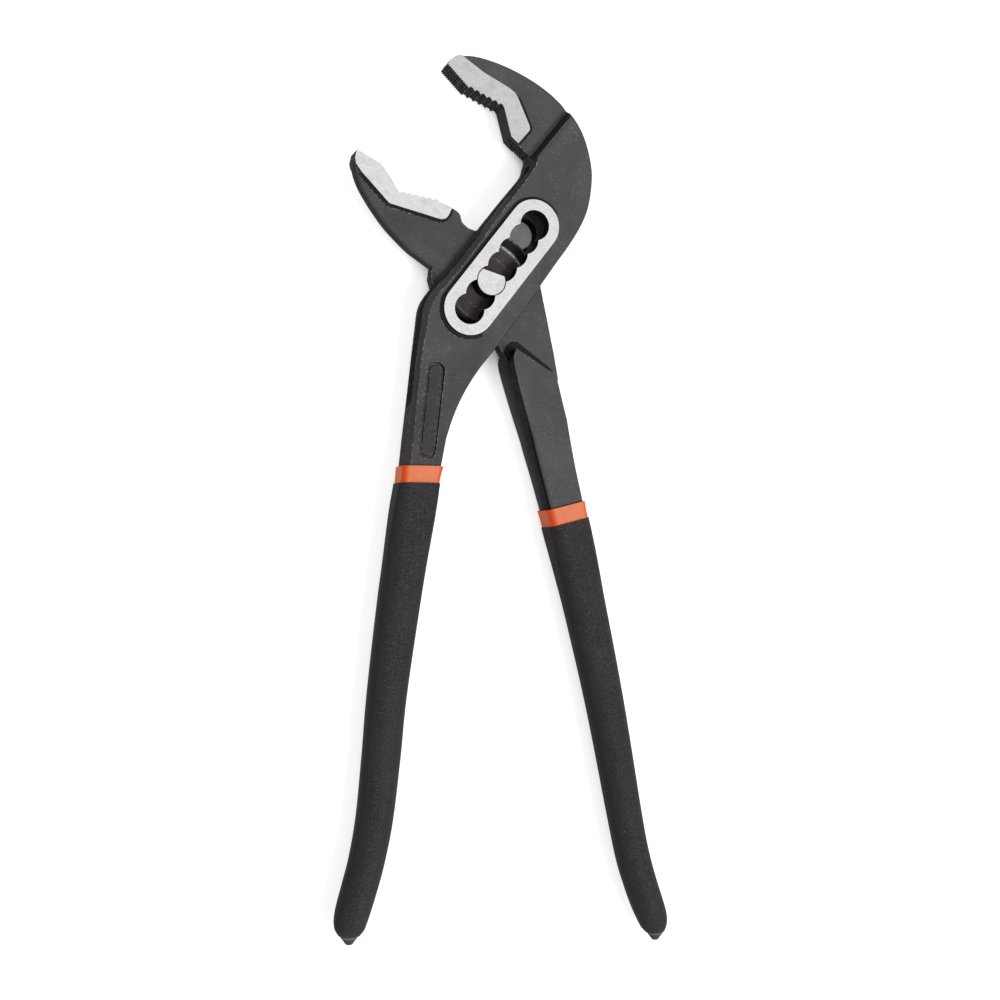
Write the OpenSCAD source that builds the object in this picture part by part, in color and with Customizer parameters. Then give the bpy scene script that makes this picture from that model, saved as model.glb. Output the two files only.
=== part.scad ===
// Box joint slip joint pliers, 250 mm long, lying flat with the jaws towards +Y.
// The origin is on the pivot axis, on the back face of the box joint. +Z is out of the front face.
// The outer arm carries the hooked upper jaw, the box joint and the left handle. The inner arm
// carries the lower jaw, a thin flat tang that passes through the box joint, and the right handle.
// A pin with D-shaped ends sits in one of the scallops of the slot in the box joint.

/* [Head] */
// Length of the head, from the jaw tip down to where the plain handles begin
head_length = 100; // [94:1:106]
// Thickness of the forging round the box joint
box_t = 12.8; // [12.4:0.1:14]
// Thickness of the jaw forgings at their toothed edges
jaw_t = 6; // [5.6:0.1:6.4]
// Thickness over the two ground faces of each jaw
pad_t = 7.2; // [7:0.1:8]
// Height of the box joint over its two ground rings
ring_t = 14.4; // [14:0.1:16]
// Width of the ground ring round the slot
ring_w = 3.1; // [2.4:0.1:3.4]
// Width of the bevel along the outer edges of the forgings
bevel = 1.5; // [1:0.1:1.6]
// Rounding along the inner edges of the forgings
soft_edge = 0.7; // [0.4:0.1:1]

/* [Pivot and slot] */
// Number of places for the pin
scallops = 7; // [5:1:7]
// Distance from one place of the pin to the next
pitch = 5.34; // [5:0.01:5.5]
// Place that the pin sits in, counted from the handle end
pin_place = 2; // [1:1:3]
// Angle of the slot above +X
slot_angle = 52.1; // [50:0.1:54]
// Diameter of the D-shaped ends of the pin
pin_d = 8.3; // [7.8:0.1:8.6]
// Clearance round the ends of the pin in the slot
slot_gap = 0.25; // [0.2:0.01:0.3]
// Distance of the flat on each end of the pin from the pivot axis
flat_in = 2.45; // [2.2:0.05:2.6]
// Direction that the flat faces, above +X
flat_angle = 74; // [70:1:78]
// Diameter of the shank of the pin in the tang
shank_d = 7; // [6:0.1:7.4]
// Running clearance of the shank in its bore, on the radius
shank_gap = 0.05; // [0.02:0.01:0.08]

/* [Tang and mortise] */
// Thickness of the tang
tang_t = 4.2; // [3.8:0.1:4.4]
// Thickness over the round boss on the tang
boss_t = 5; // [4.8:0.1:5]
// Radius of the boss
boss_r = 11.2; // [10.4:0.1:11.6]
// Radius of the tang on the jaw side of the pivot
tang_r = 15.5; // [15:0.1:15.8]
// Gap between the cheeks of the box joint
mortise_t = 5.8; // [5.7:0.1:6]

/* [Teeth] */
// Pitch of the fine serrations
fine_pitch = 0.78; // [0.6:0.01:1]
// Depth of the fine serrations
fine_depth = 0.3; // [0.2:0.01:0.4]
// Number of coarse teeth on each jaw
coarse_teeth = 6; // [4:1:7]
// Depth of the coarse teeth
coarse_depth = 0.6; // [0.5:0.05:0.9]

/* [Handles] */
// Reach of the handles below the pivot axis
handle_length = 190; // [180:1:200]
// Distance of the end of the outer handle from the Y axis
outer_splay = 40; // [36:0.5:44]
// Distance of the end of the inner handle from the Y axis
inner_splay = 54; // [50:0.5:58]
// Widest width of the steel of the handles under the grips
handle_w = 10.2; // [9.4:0.1:11]
// Thickness of the steel of the handles
handle_t = 9; // [8.8:0.1:9.6]
// Thickness of the steel at the shoulder of the inner arm
shoulder_t = 13.8; // [13:0.1:14.2]
// Depth of the label panel pressed into the outer handle
label_depth = 0.4; // [0.2:0.05:0.6]
// Width of the label panel
label_w = 5.2; // [4.4:0.1:5.6]

/* [Grips] */
// Thickness of the black coat together with the liner below it
grip_t = 1.15; // [1:0.05:1.4]
// Thickness of the orange liner where it shows as a band
band_t = 0.7; // [0.6:0.05:0.9]
// Thickness of the orange liner below the black coat
liner_t = 0.5; // [0.4:0.05:0.6]
// Height of the band above the black coat
band_h = 4.8; // [4:0.1:6]
// Clearance between the coats and the steel
coat_gap = 0.05; // [0.03:0.01:0.08]
// Length of the drip at the end of each grip
drip_h = 4; // [2:0.5:5]

/* [Hidden] */
$fn = 64;
arc_steps = 24;                // corners on a drawn arc
cut = 1;                       // overrun of every cut
mid = ring_t / 2;              // height of the plane halfway through the tool
scallop_r = pin_d / 2 + slot_gap;
ring_r = scallop_r + ring_w;
slot_low = -pin_place * pitch;
slot_high = (scallops - 1 - pin_place) * pitch;
heel_r = boss_r + slot_gap;    // radius of the tang on the handle side of the pivot
fine_floor = [0.5];            // shares of the pitch at which a fine notch is deepest
coarse_floor = [0.24, 0.6];    // the same for a coarse notch

// Rungs of the outer head, as shares of head_length: the inner edge (x, y), the back edge (x, y), the
// rise from the jaw's thickness (0) to that of the box joint (1), and the share of the bevel
outer_head_shares = [
    [-0.114, 0.620, -0.090, 0.651, 0.00, 0.2],
    [-0.086, 0.597, -0.040, 0.657, 0.00, 0.2],
    [-0.052, 0.570, 0.022, 0.648, 0.00, 0.2],
    [0.000, 0.548, 0.083, 0.630, 0.00, 0.2],
    [0.053, 0.524, 0.146, 0.603, 0.00, 0.2],
    [0.069, 0.480, 0.192, 0.576, 0.00, 0.2],
    [0.081, 0.437, 0.225, 0.551, 0.00, 0.2],
    [0.117, 0.405, 0.240, 0.536, 0.00, 0.3],
    [0.131, 0.375, 0.249, 0.525, 0.02, 0.4],
    [0.135, 0.361, 0.252, 0.505, 0.98, 0.8],
    [0.127, 0.336, 0.281, 0.464, 1.00, 1.0],
    [0.104, 0.306, 0.302, 0.412, 1.00, 1.0],
    [0.077, 0.273, 0.315, 0.348, 1.00, 1.0],
    [0.052, 0.242, 0.313, 0.290, 1.00, 1.0],
    [0.027, 0.210, 0.301, 0.229, 1.00, 1.0],
    [0.002, 0.178, 0.277, 0.175, 1.00, 1.0],
    [-0.024, 0.141, 0.241, 0.118, 1.00, 1.0],
    [-0.053, 0.102, 0.197, 0.058, 1.00, 1.0],
    [-0.083, 0.064, 0.150, -0.008, 1.00, 1.0],
    [-0.108, 0.032, 0.103, -0.073, 1.00, 1.0],
    [-0.134, 0.002, 0.058, -0.134, 1.00, 1.0],
    [-0.163, -0.032, 0.014, -0.195, 0.96, 1.0],
    [-0.186, -0.073, -0.027, -0.246, 0.82, 1.0],
    [-0.196, -0.130, -0.057, -0.292, 0.50, 1.0],
    [-0.205, -0.190, -0.081, -0.337, 0.18, 1.0],
    [-0.214, -0.262, -0.099, -0.378, 0.03, 1.0],
    [-0.223, -0.340, -0.112, -0.413, 0.00, 1.0]];

// Rungs of the inner jaw, as shares of head_length: the back edge (x, y), the toothed edge (x, y), and
// the rise from the tang's thickness (0) to that of the jaw (1)
inner_jaw_shares = [
    [-0.389, 0.330, -0.382, 0.346, 1.0],
    [-0.390, 0.301, -0.357, 0.332, 1.0],
    [-0.377, 0.260, -0.330, 0.317, 1.0],
    [-0.351, 0.215, -0.306, 0.300, 1.0],
    [-0.325, 0.178, -0.287, 0.270, 1.0],
    [-0.297, 0.143, -0.264, 0.240, 1.0],
    [-0.265, 0.111, -0.224, 0.232, 1.0],
    [-0.229, 0.079, -0.174, 0.224, 1.0],
    [-0.196, 0.057, -0.130, 0.216, 0.9],
    [-0.170, 0.040, -0.101, 0.209, 0.7],
    [-0.150, 0.029, -0.080, 0.196, 0.4],
    [-0.134, 0.020, -0.071, 0.173, 0.1],
    [-0.118, 0.014, -0.052, 0.158, -0.1]];

// Rungs of the inner arm below its shoulder, as shares of head_length: the inner edge (x, y), the outer
// edge (x, y), and the rise from the handle's thickness (0) to that of the shoulder (1)
shoulder_shares = [
    [0.076, -0.190, 0.212, -0.261, 1.00],
    [0.067, -0.222, 0.219, -0.296, 0.98],
    [0.082, -0.286, 0.228, -0.340, 0.84],
    [0.104, -0.360, 0.239, -0.388, 0.70]];

// Stations of the two handles: the share of handle_length below the pivot, the share of the splay, the
// shares of handle_w and handle_t, and how far the section is square to the handle (0 is along X)
outer_handle_shares = [
    [0.237, 0.448, 1.12, 1.00, 0.0],
    [0.279, 0.478, 1.05, 1.00, 0.0],
    [0.305, 0.499, 0.98, 1.00, 0.0],
    [0.358, 0.539, 1.01, 1.00, 0.2],
    [0.479, 0.627, 0.95, 1.00, 0.6],
    [0.616, 0.713, 0.86, 0.98, 1.0],
    [0.705, 0.752, 0.83, 0.96, 1.0],
    [0.795, 0.799, 0.79, 0.94, 1.0],
    [0.855, 0.853, 0.76, 0.92, 1.0],
    [0.895, 0.905, 0.75, 0.90, 1.0],
    [0.923, 0.949, 0.70, 0.88, 1.0],
    [0.940, 0.973, 0.64, 0.80, 1.0],
    [0.952, 0.983, 0.53, 0.66, 1.0],
    [0.961, 0.982, 0.31, 0.42, 1.0]];
inner_handle_shares = [
    [0.234, 0.351, 1.18, 1.29, 1.0],
    [0.284, 0.396, 1.11, 1.18, 1.0],
    [0.331, 0.440, 1.08, 1.10, 1.0],
    [0.355, 0.461, 1.03, 1.08, 1.0],
    [0.450, 0.546, 1.00, 1.02, 1.0],
    [0.632, 0.691, 0.87, 0.98, 1.0],
    [0.821, 0.818, 0.76, 0.94, 1.0],
    [0.880, 0.863, 0.75, 0.92, 1.0],
    [0.920, 0.906, 0.73, 0.90, 1.0],
    [0.950, 0.944, 0.70, 0.88, 1.0],
    [0.972, 0.974, 0.64, 0.80, 1.0],
    [0.986, 0.987, 0.54, 0.66, 1.0],
    [0.996, 0.993, 0.34, 0.42, 1.0]];
// Where the band begins, and where the steel ends inside the grip
outer_band_share = 0.279;
outer_steel_share = 0.915;
inner_band_share = 0.335;
inner_steel_share = 0.942;

// The ground face of the upper jaw, as shares of head_length: corners of its toothed side, then its back
upper_teeth_shares = [[-0.120, 0.621], [-0.058, 0.560], [0.051, 0.513], [0.073, 0.431], [0.094, 0.413]];
upper_pad_shares = [[0.123, 0.447], [0.130, 0.456], [0.129, 0.468], [0.093, 0.547], [0.084, 0.561],
                    [0.068, 0.572], [-0.012, 0.610], [-0.079, 0.653], [-0.095, 0.649], [-0.110, 0.637]];
// The ground face of the lower jaw, in the same order
lower_teeth_shares = [[-0.385, 0.350], [-0.316, 0.316], [-0.297, 0.294], [-0.262, 0.239],
                      [-0.146, 0.224], [-0.106, 0.209]];
lower_pad_shares = [[-0.118, 0.184], [-0.126, 0.176], [-0.140, 0.173], [-0.287, 0.206], [-0.293, 0.209],
                    [-0.370, 0.288], [-0.387, 0.311], [-0.390, 0.327]];
// The serrated strip in the throat, as shares of head_length: its two ends, then the steel behind it
throat_shares = [[0.072, 0.429], [0.130, 0.379]];
throat_back_shares = [[0.150, 0.400], [0.100, 0.455]];
// Centres of the two round ends of the label panel, as shares of head_length
label_shares = [[-0.157, -0.262], [-0.182, -0.484]];

// The tang beside the disc round the pivot, as shares of head_length: its jaw end and its handle end
tang_neck_shares = [[-0.158, -0.018], [-0.165, 0.006], [-0.161, 0.038], [-0.104, 0.193], [-0.083, 0.187],
                    [-0.072, 0.169], [-0.054, 0.157]];
tang_handle_shares = [[0.173, -0.019], [0.181, -0.050], [0.191, -0.096], [0.200, -0.140],
                      [0.211, -0.190], [0.222, -0.262], [0.120, -0.300], [0.076, -0.245],
                      [0.064, -0.222], [0.042, -0.184], [0.020, -0.152]];
// Directions at which the tang's two round stretches begin and end, as shares of a full turn
tang_arc_shares = [0.285, 0.008];
heel_arc_shares = [-0.225, -0.515];

// Outline of the mortise, as shares of head_length: its floor, with a relief for the jaw and one for the
// handle, then its open right side and its roof
mortise_shares = [[-0.260, -0.400], [-0.220, -0.357], [-0.178, -0.262], [-0.150, -0.236],
                  [-0.122, -0.242], [-0.100, -0.290], [-0.064, -0.321], [0.060, -0.318],
                  [0.360, 0.000], [0.360, 0.312], [0.205, 0.330], [0.124, 0.363], [0.060, 0.400],
                  [-0.197, 0.018]];

function mix(a, b, k) = a + (b - a) * k;
function turned(r, share) = [r * cos(360 * share), r * sin(360 * share)];
function in_slot(s) = [s * cos(slot_angle), s * sin(slot_angle)];

// A smooth curve through rows of numbers, with n steps from one row to the next
function curve_at(rows, i, k) =
    let (last = len(rows) - 1, a = rows[max(i - 1, 0)], b = rows[i])
    let (c = rows[min(i + 1, last)], d = rows[min(i + 2, last)])
    b + (c - a) * k / 2 + (2 * a - 5 * b + 4 * c - d) * k * k / 2
      + (3 * b - a - 3 * c + d) * k * k * k / 2;
function curve(rows, n) =
    [for (i = [0:len(rows) - 2]) for (k = [0:n - 1]) curve_at(rows, i, k / n), rows[len(rows) - 1]];

// Half of the outline across a bar, from its left side over the top to its right side
function over_the_top(w, h_left, h_right, c_left, c_right) =
    let (tilt = (h_right - h_left) / w, steps = [0, 30, 60, 90])
    concat(
        [for (a = steps)
            let (in = c_left * (1 - cos(a))) [in, h_left + tilt * in - c_left * (1 - sin(a))]],
        [for (i = [len(steps) - 1:-1:0])
            let (in = c_right * (1 - cos(steps[i])))
            [w - in, h_right - tilt * in - c_right * (1 - sin(steps[i]))]]);

// A rung is [left x, left y, right x, right y, half height left, half height right, corner left, right]
function rung_points(rung) =
    let (left = [rung[0], rung[1]], along = [rung[2], rung[3]] - left, w = norm(along))
    let (top = over_the_top(w, rung[4], rung[5], rung[6], rung[7]))
    concat(
        [for (p = top) [left.x + along.x * p.x / w, left.y + along.y * p.x / w, mid + p.y]],
        [for (i = [len(top) - 1:-1:0])
            [left.x + along.x * top[i].x / w, left.y + along.y * top[i].x / w, mid - top[i].y]]);

// A bar with the cross-section of each rung in turn
module bar(rungs) {
    rings = [for (rung = rungs) rung_points(rung)];
    n = len(rings[0]);
    last = (len(rings) - 1) * n;
    polyhedron(
        points = [for (ring = rings) each ring],
        faces = concat(
            [[for (i = [n - 1:-1:0]) i]],
            [[for (i = [0:n - 1]) last + i]],
            [for (j = [0:len(rings) - 2]) for (i = [0:n - 1])
                each [[j * n + i, j * n + n + (i + 1) % n, j * n + n + i],
                      [j * n + i, j * n + (i + 1) % n, j * n + n + (i + 1) % n]]]));
}

// Rungs of a handle from one share of its length to another, each side grown by a coat
function column(rows, i) = [for (r = rows) [r[0], r[i]]];
function handle_rung(rows, side, splay, a, coat) =
    let (near = 0.01, ends = [a - near, a, a + near])
    let (x = [for (k = ends) side * splay * lookup(k, column(rows, 1))])
    let (lean = [x[2] - x[0], -2 * near * handle_length])
    let (square = [-lean.y, lean.x * lookup(a, column(rows, 4))], across = square / norm(square))
    let (half_w = handle_w * lookup(a, column(rows, 2)) / 2 + coat)
    let (half_t = handle_t * lookup(a, column(rows, 3)) / 2 + coat)
    let (centre = [x[1], -handle_length * a])
    let (corner = min(bevel + coat, half_w - coat_gap, half_t - coat_gap))
    let (left = centre - across * half_w, right = centre + across * half_w)
    [left.x, left.y, right.x, right.y, half_t, half_t, corner, corner];
function handle_rungs(shares, side, splay, from, to, coat) =
    let (rows = curve(shares, 2), least = coat_gap / handle_length)
    let (between = [for (r = rows) if (r[0] > from + least && r[0] < to - least) r[0]])
    [for (a = concat([from], between, [to])) handle_rung(rows, side, splay, a, coat)];

// A serrated edge from a to b: n teeth, each followed by a notch on the left of the way from a to b, whose
// floor lies between these two shares of the pitch
function teeth(a, b, n, depth, floor) =
    let (way = b - a, inward = [-way.y, way.x] / norm(way))
    [for (i = [0:n - 1]) each [a + way * i / n, for (k = floor) a + way * (i + k) / n + inward * depth]];
function fine_count(a, b) = round(norm(b - a) / fine_pitch);

// The slot in the plane: scallops that run into each other
module slot_outline(r) {
    for (k = [0:scallops - 1]) {
        translate(in_slot(slot_low + k * pitch)) circle(r);
    }
}

// A bar with round ends, seen from above
module stadium(from, to, r) {
    way = to - from;
    turn = atan2(way.y, way.x) / 360;
    half_turn = [for (i = [0:arc_steps]) i / arc_steps / 2];
    polygon(concat(
        [for (a = half_turn) from + turned(r, turn + 0.25 + a)],
        [for (a = half_turn) to + turned(r, turn - 0.25 + a)]));
}

// The upper jaw's ground faces with their teeth, through the whole thickness
module upper_pad() {
    p = upper_teeth_shares * head_length;
    outline = concat(
        teeth(p[0], p[1], fine_count(p[0], p[1]), fine_depth, fine_floor),
        teeth(p[1], p[2], coarse_teeth, coarse_depth, coarse_floor),
        [p[2], p[3], p[4]],
        upper_pad_shares * head_length);
    translate([0, 0, mid - pad_t / 2]) linear_extrude(pad_t) polygon(outline);
}

module lower_pad() {
    p = lower_teeth_shares * head_length;
    // Read from the neck to the tip, so that the steel is on the left here too
    outline = concat(
        teeth(p[4], p[3], coarse_teeth, -coarse_depth / 2, coarse_floor),
        [p[3], p[2]],
        teeth(p[1], p[0], fine_count(p[0], p[1]), -fine_depth, fine_floor),
        [p[0]],
        [for (i = [len(lower_pad_shares) - 1:-1:0]) lower_pad_shares[i] * head_length],
        [p[5]]);
    translate([0, 0, mid - pad_t / 2]) linear_extrude(pad_t) polygon(outline);
}

module throat_strip() {
    p = throat_shares * head_length;
    outline = concat(
        teeth(p[0], p[1], fine_count(p[0], p[1]), fine_depth, fine_floor),
        [p[1]],
        throat_back_shares * head_length);
    thick = jaw_t - slot_gap;
    translate([0, 0, mid - thick / 2]) linear_extrude(thick) polygon(outline);
}

// The forging of the outer arm before it is machined
module outer_forging() {
    head = [for (r = outer_head_shares)
        let (low = r[1] > 0 ? jaw_t : handle_t, half = mix(low, box_t, r[4]) / 2)
        [r[0] * head_length, r[1] * head_length, r[2] * head_length, r[3] * head_length,
         half, half, r[5] * bevel, soft_edge]];
    steel = handle_rungs(outer_handle_shares, -1, outer_splay, outer_handle_shares[0][0],
                         outer_steel_share, 0);
    bar(concat(curve(head, 2), steel));
}

// The open space between the cheeks
module mortise() {
    translate([0, 0, mid - mortise_t / 2]) linear_extrude(mortise_t) polygon(mortise_shares * head_length);
}

module outer_arm() {
    color("dimgray") difference() {
        union() {
            outer_forging();
            upper_pad();
            throat_strip();
            linear_extrude(ring_t) stadium(in_slot(slot_low), in_slot(slot_high), ring_r);
        }
        mortise();
        translate([0, 0, -cut]) linear_extrude(ring_t + 2 * cut) slot_outline(scallop_r);
        label_z = mid + handle_t / 2 - label_depth;
        for (z = [label_z, ring_t - label_z - label_depth - cut]) {
            translate([0, 0, z]) linear_extrude(label_depth + cut)
                stadium(label_shares[0] * head_length, label_shares[1] * head_length, label_w / 2);
        }
    }
}

// The thin flat tang that passes through the box joint
module tang() {
    steps = [for (i = [0:arc_steps]) i / arc_steps];
    outline = concat(
        tang_neck_shares * head_length,
        [for (k = steps) turned(tang_r, mix(tang_arc_shares[0], tang_arc_shares[1], k))],
        tang_handle_shares * head_length,
        [for (k = steps) turned(heel_r, mix(heel_arc_shares[0], heel_arc_shares[1], k))]);
    translate([0, 0, mid - tang_t / 2]) linear_extrude(tang_t) polygon(outline);
    translate([0, 0, mid - boss_t / 2]) cylinder(h = boss_t, r = boss_r);
}

module inner_jaw() {
    rungs = [for (r = inner_jaw_shares)
        let (tooth = mix(tang_t, jaw_t, r[4]) / 2, back = mix(tang_t, jaw_t, r[4] / 6) / 2)
        [r[0] * head_length, r[1] * head_length, r[2] * head_length, r[3] * head_length,
         back, tooth, min(bevel, back - slot_gap), soft_edge / 2]];
    bar(curve(rungs, 2));
}

module inner_handle() {
    top = [for (r = shoulder_shares)
        let (half = mix(handle_t, shoulder_t, r[4]) / 2)
        [r[0] * head_length, r[1] * head_length, r[2] * head_length, r[3] * head_length,
         half, half, soft_edge / 2, bevel]];
    steel = handle_rungs(inner_handle_shares, 1, inner_splay, inner_handle_shares[0][0],
                         inner_steel_share, 0);
    bar(concat(curve(top, 2), steel));
}

module inner_arm() {
    color("dimgray") difference() {
        union() {
            inner_jaw();
            lower_pad();
            inner_handle();
            tang();
        }
        translate([0, 0, -cut]) cylinder(h = ring_t + 2 * cut, r = shank_d / 2 + shank_gap);
    }
}

// The round shank of the pin, which the tang turns on
module pivot_pin() {
    color("silver") translate([0, 0, mid - boss_t / 2]) cylinder(h = boss_t, r = shank_d / 2);
}

// One D-shaped end of the pin, which sits in a scallop of one cheek
module pin_end(z) {
    height = (ring_t - boss_t) / 2;
    color("silver") translate([0, 0, z]) difference() {
        cylinder(h = height, r = pin_d / 2);
        rotate(flat_angle) translate([flat_in, -pin_d, -cut]) cube([pin_d, 2 * pin_d, height + 2 * cut]);
    }
}
module pin_end_front() {
    pin_end(mid + boss_t / 2);
}
module pin_end_back() {
    pin_end(0);
}

// The orange liner: a thin sleeve below the black coat that thickens to a band above it
module liner(shares, side, splay, band_share, steel_share) {
    coat_share = band_share + band_h / handle_length;
    color("orangered") difference() {
        bar(concat(
            handle_rungs(shares, side, splay, band_share, coat_share, band_t),
            handle_rungs(shares, side, splay, coat_share + coat_gap / handle_length,
                         steel_share + liner_t / handle_length, liner_t)));
        bar(handle_rungs(shares, side, splay, band_share - cut / handle_length,
                         steel_share + coat_gap / handle_length, coat_gap));
    }
}

// The black coat over the liner, closed at its end, with the drip that the dipping leaves
module grip(shares, side, splay, band_share, steel_share) {
    coat_share = band_share + band_h / handle_length;
    end_share = shares[len(shares) - 1][0];
    inside = steel_share + (liner_t + coat_gap) / handle_length;
    end = [side * splay * shares[len(shares) - 1][1], -handle_length * end_share];
    color("#2b2b2b") union() {
        difference() {
            bar(handle_rungs(shares, side, splay, coat_share + coat_gap / handle_length, end_share,
                             grip_t));
            bar(handle_rungs(shares, side, splay, coat_share - cut / handle_length, inside,
                             liner_t + coat_gap));
        }
        translate([end.x, end.y + drip_h / 3, mid]) rotate([90, 0, 0])
            cylinder(h = drip_h, r1 = drip_h * 2 / 3, r2 = drip_h / 5);
    }
}

module outer_band() {
    liner(outer_handle_shares, -1, outer_splay, outer_band_share, outer_steel_share);
}
module outer_grip() {
    grip(outer_handle_shares, -1, outer_splay, outer_band_share, outer_steel_share);
}
module inner_band() {
    liner(inner_handle_shares, 1, inner_splay, inner_band_share, inner_steel_share);
}
module inner_grip() {
    grip(inner_handle_shares, 1, inner_splay, inner_band_share, inner_steel_share);
}

outer_arm();
inner_arm();
pivot_pin();
pin_end_front();
pin_end_back();
outer_band();
outer_grip();
inner_band();
inner_grip();
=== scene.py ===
# Slip joint pliers with a box joint and dipped grips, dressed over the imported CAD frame.
# Lengths in this script are millimetres until mesh_object() turns them into metres.
import math

import bmesh
import bpy
import numpy as np
from mathutils import Matrix, Vector


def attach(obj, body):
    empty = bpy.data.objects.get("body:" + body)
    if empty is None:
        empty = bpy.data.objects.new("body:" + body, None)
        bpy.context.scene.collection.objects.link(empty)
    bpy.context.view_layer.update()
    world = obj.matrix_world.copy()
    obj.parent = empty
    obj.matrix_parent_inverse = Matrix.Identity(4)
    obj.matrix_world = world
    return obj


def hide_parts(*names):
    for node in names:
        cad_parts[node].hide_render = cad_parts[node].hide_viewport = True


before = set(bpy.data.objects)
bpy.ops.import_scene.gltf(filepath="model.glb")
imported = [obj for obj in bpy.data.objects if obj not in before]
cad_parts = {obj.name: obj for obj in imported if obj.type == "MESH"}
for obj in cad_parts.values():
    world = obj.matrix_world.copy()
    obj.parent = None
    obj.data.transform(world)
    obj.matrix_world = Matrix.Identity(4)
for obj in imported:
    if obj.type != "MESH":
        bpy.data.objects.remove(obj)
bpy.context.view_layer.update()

MM = 0.001

# Main sizes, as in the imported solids: widths (W), thicknesses (T) and radii (R). RIGHT_THROUGH is the lowest
# and highest point of a cutter that goes through the whole tool.
HEAD = 100.0
REACH = 190.0
OUTER_SPLAY = -40.0
INNER_SPLAY = 54.0
HANDLE_W = 10.2
HANDLE_T = 9.0
SHOULDER_T = 13.8
BOX_T = 12.8
JAW_T = 6.0
PAD_T = 7.2
STRIP_T = JAW_T - 0.25
RING_T = 14.4
MID = RING_T / 2
RIGHT_THROUGH = (-1.0, RING_T + 1.0)
BEVEL = 1.5
SOFT_EDGE = 0.7
# The slot of overlapping circles, and the place in it where the pin rests, counted from 0
SCALLOPS = 7
PITCH = 5.34
PIN_PLACE = 2
SLOT_ANGLE = math.radians(52.1)
SLOT_LOW = -PIN_PLACE * PITCH
SLOT_HIGH = (SCALLOPS - 1 - PIN_PLACE) * PITCH
SCALLOP_R = 4.4
RING_R = 7.5
# The pin, the bore for its shank, and how far from its centre the flat of each end lies
PIN_R = 4.15
BORE_R = 3.55
FLAT_IN = 2.45
FLAT_ANGLE = math.radians(74)
# The tang, its boss, and the mortise that they pass through
TANG_T = 4.2
TANG_R = 15.5
HEEL_R = 11.45
BOSS_T = 5.0
MORTISE_T = 5.8
GROOVE_DEPTH = 0.3
SHADE_UP = 0.02
# The panel of the outer handle
LABEL_W = 5.2
LABEL_DEPTH = 0.4
# The dip coats. The grips are thinner than in the solids by WITHIN, to stay inside the solids' box.
GRIP_T = 1.15
BAND_T = 0.7
BAND_H = 4.8
COAT_GAP = 0.05
WITHIN = 0.04
# The teeth, and how far the seats round the ground pads stand up from the jaws
FINE_PITCH = 0.72
FINE_DEPTH = 0.3
COARSE_TEETH = 6
COARSE_DEPTH = 0.6
COARSE_FLOOR = (0.24, 0.6)
UPPER_SEAT = 0.56
LOWER_SEAT = 0.06
# Steps from one rung to the next
HEAD_STEPS = 4
HANDLE_STEPS = 6
# Cleaning of meshes, in metres: corners nearer than this are one
SAME_POINT = 1e-7
WELD = 2e-6
# An island of fewer faces is no part of the shape, and no more seams than this are looked for
SMALLEST_ISLAND = 12
MOST_SPLITS = 30

# Rungs of the outer head: inner edge (x, y), back edge (x, y), rise from the jaw or the handle to the box
# joint's thickness, share of the bevel. Shares of HEAD, as in the solids.
OUTER_HEAD = [
    (-0.114, 0.620, -0.090, 0.651, 0.00, 0.2),
    (-0.086, 0.597, -0.040, 0.657, 0.00, 0.2),
    (-0.052, 0.570, 0.022, 0.648, 0.00, 0.2),
    (0.000, 0.548, 0.083, 0.630, 0.00, 0.2),
    (0.053, 0.524, 0.146, 0.603, 0.00, 0.2),
    (0.069, 0.480, 0.192, 0.576, 0.00, 0.2),
    (0.081, 0.437, 0.225, 0.551, 0.00, 0.2),
    (0.117, 0.405, 0.240, 0.536, 0.00, 0.3),
    (0.131, 0.375, 0.249, 0.525, 0.02, 0.4),
    (0.135, 0.361, 0.252, 0.505, 0.98, 0.8),
    (0.127, 0.336, 0.281, 0.464, 1.00, 1.0),
    (0.104, 0.306, 0.302, 0.412, 1.00, 1.0),
    (0.077, 0.273, 0.315, 0.348, 1.00, 1.0),
    (0.052, 0.242, 0.313, 0.290, 1.00, 1.0),
    (0.027, 0.210, 0.301, 0.229, 1.00, 1.0),
    (0.002, 0.178, 0.277, 0.175, 1.00, 1.0),
    (-0.024, 0.141, 0.241, 0.118, 1.00, 1.0),
    (-0.053, 0.102, 0.197, 0.058, 1.00, 1.0),
    (-0.083, 0.064, 0.150, -0.008, 1.00, 1.0),
    (-0.108, 0.032, 0.103, -0.073, 1.00, 1.0),
    (-0.134, 0.002, 0.058, -0.134, 1.00, 1.0),
    (-0.163, -0.032, 0.014, -0.195, 0.96, 1.0),
    (-0.186, -0.073, -0.027, -0.246, 0.82, 1.0),
    (-0.196, -0.130, -0.057, -0.292, 0.50, 1.0),
    (-0.205, -0.190, -0.081, -0.337, 0.18, 1.0),
    (-0.214, -0.262, -0.099, -0.378, 0.03, 1.0),
    (-0.223, -0.340, -0.112, -0.413, 0.00, 1.0),
]
# Rungs of the lower jaw: back edge (x, y), toothed edge (x, y), rise from the tang's thickness to the jaw's
INNER_JAW = [
    (-0.389, 0.330, -0.382, 0.346, 1.0),
    (-0.390, 0.301, -0.357, 0.332, 1.0),
    (-0.377, 0.260, -0.330, 0.317, 1.0),
    (-0.351, 0.215, -0.306, 0.300, 1.0),
    (-0.325, 0.178, -0.287, 0.270, 1.0),
    (-0.297, 0.143, -0.264, 0.240, 1.0),
    (-0.265, 0.111, -0.224, 0.232, 1.0),
    (-0.229, 0.079, -0.174, 0.224, 1.0),
    (-0.196, 0.057, -0.130, 0.216, 0.9),
    (-0.170, 0.040, -0.101, 0.209, 0.7),
    (-0.150, 0.029, -0.080, 0.196, 0.4),
    (-0.134, 0.020, -0.071, 0.173, 0.1),
    (-0.118, 0.014, -0.052, 0.158, -0.1),
]
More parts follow.
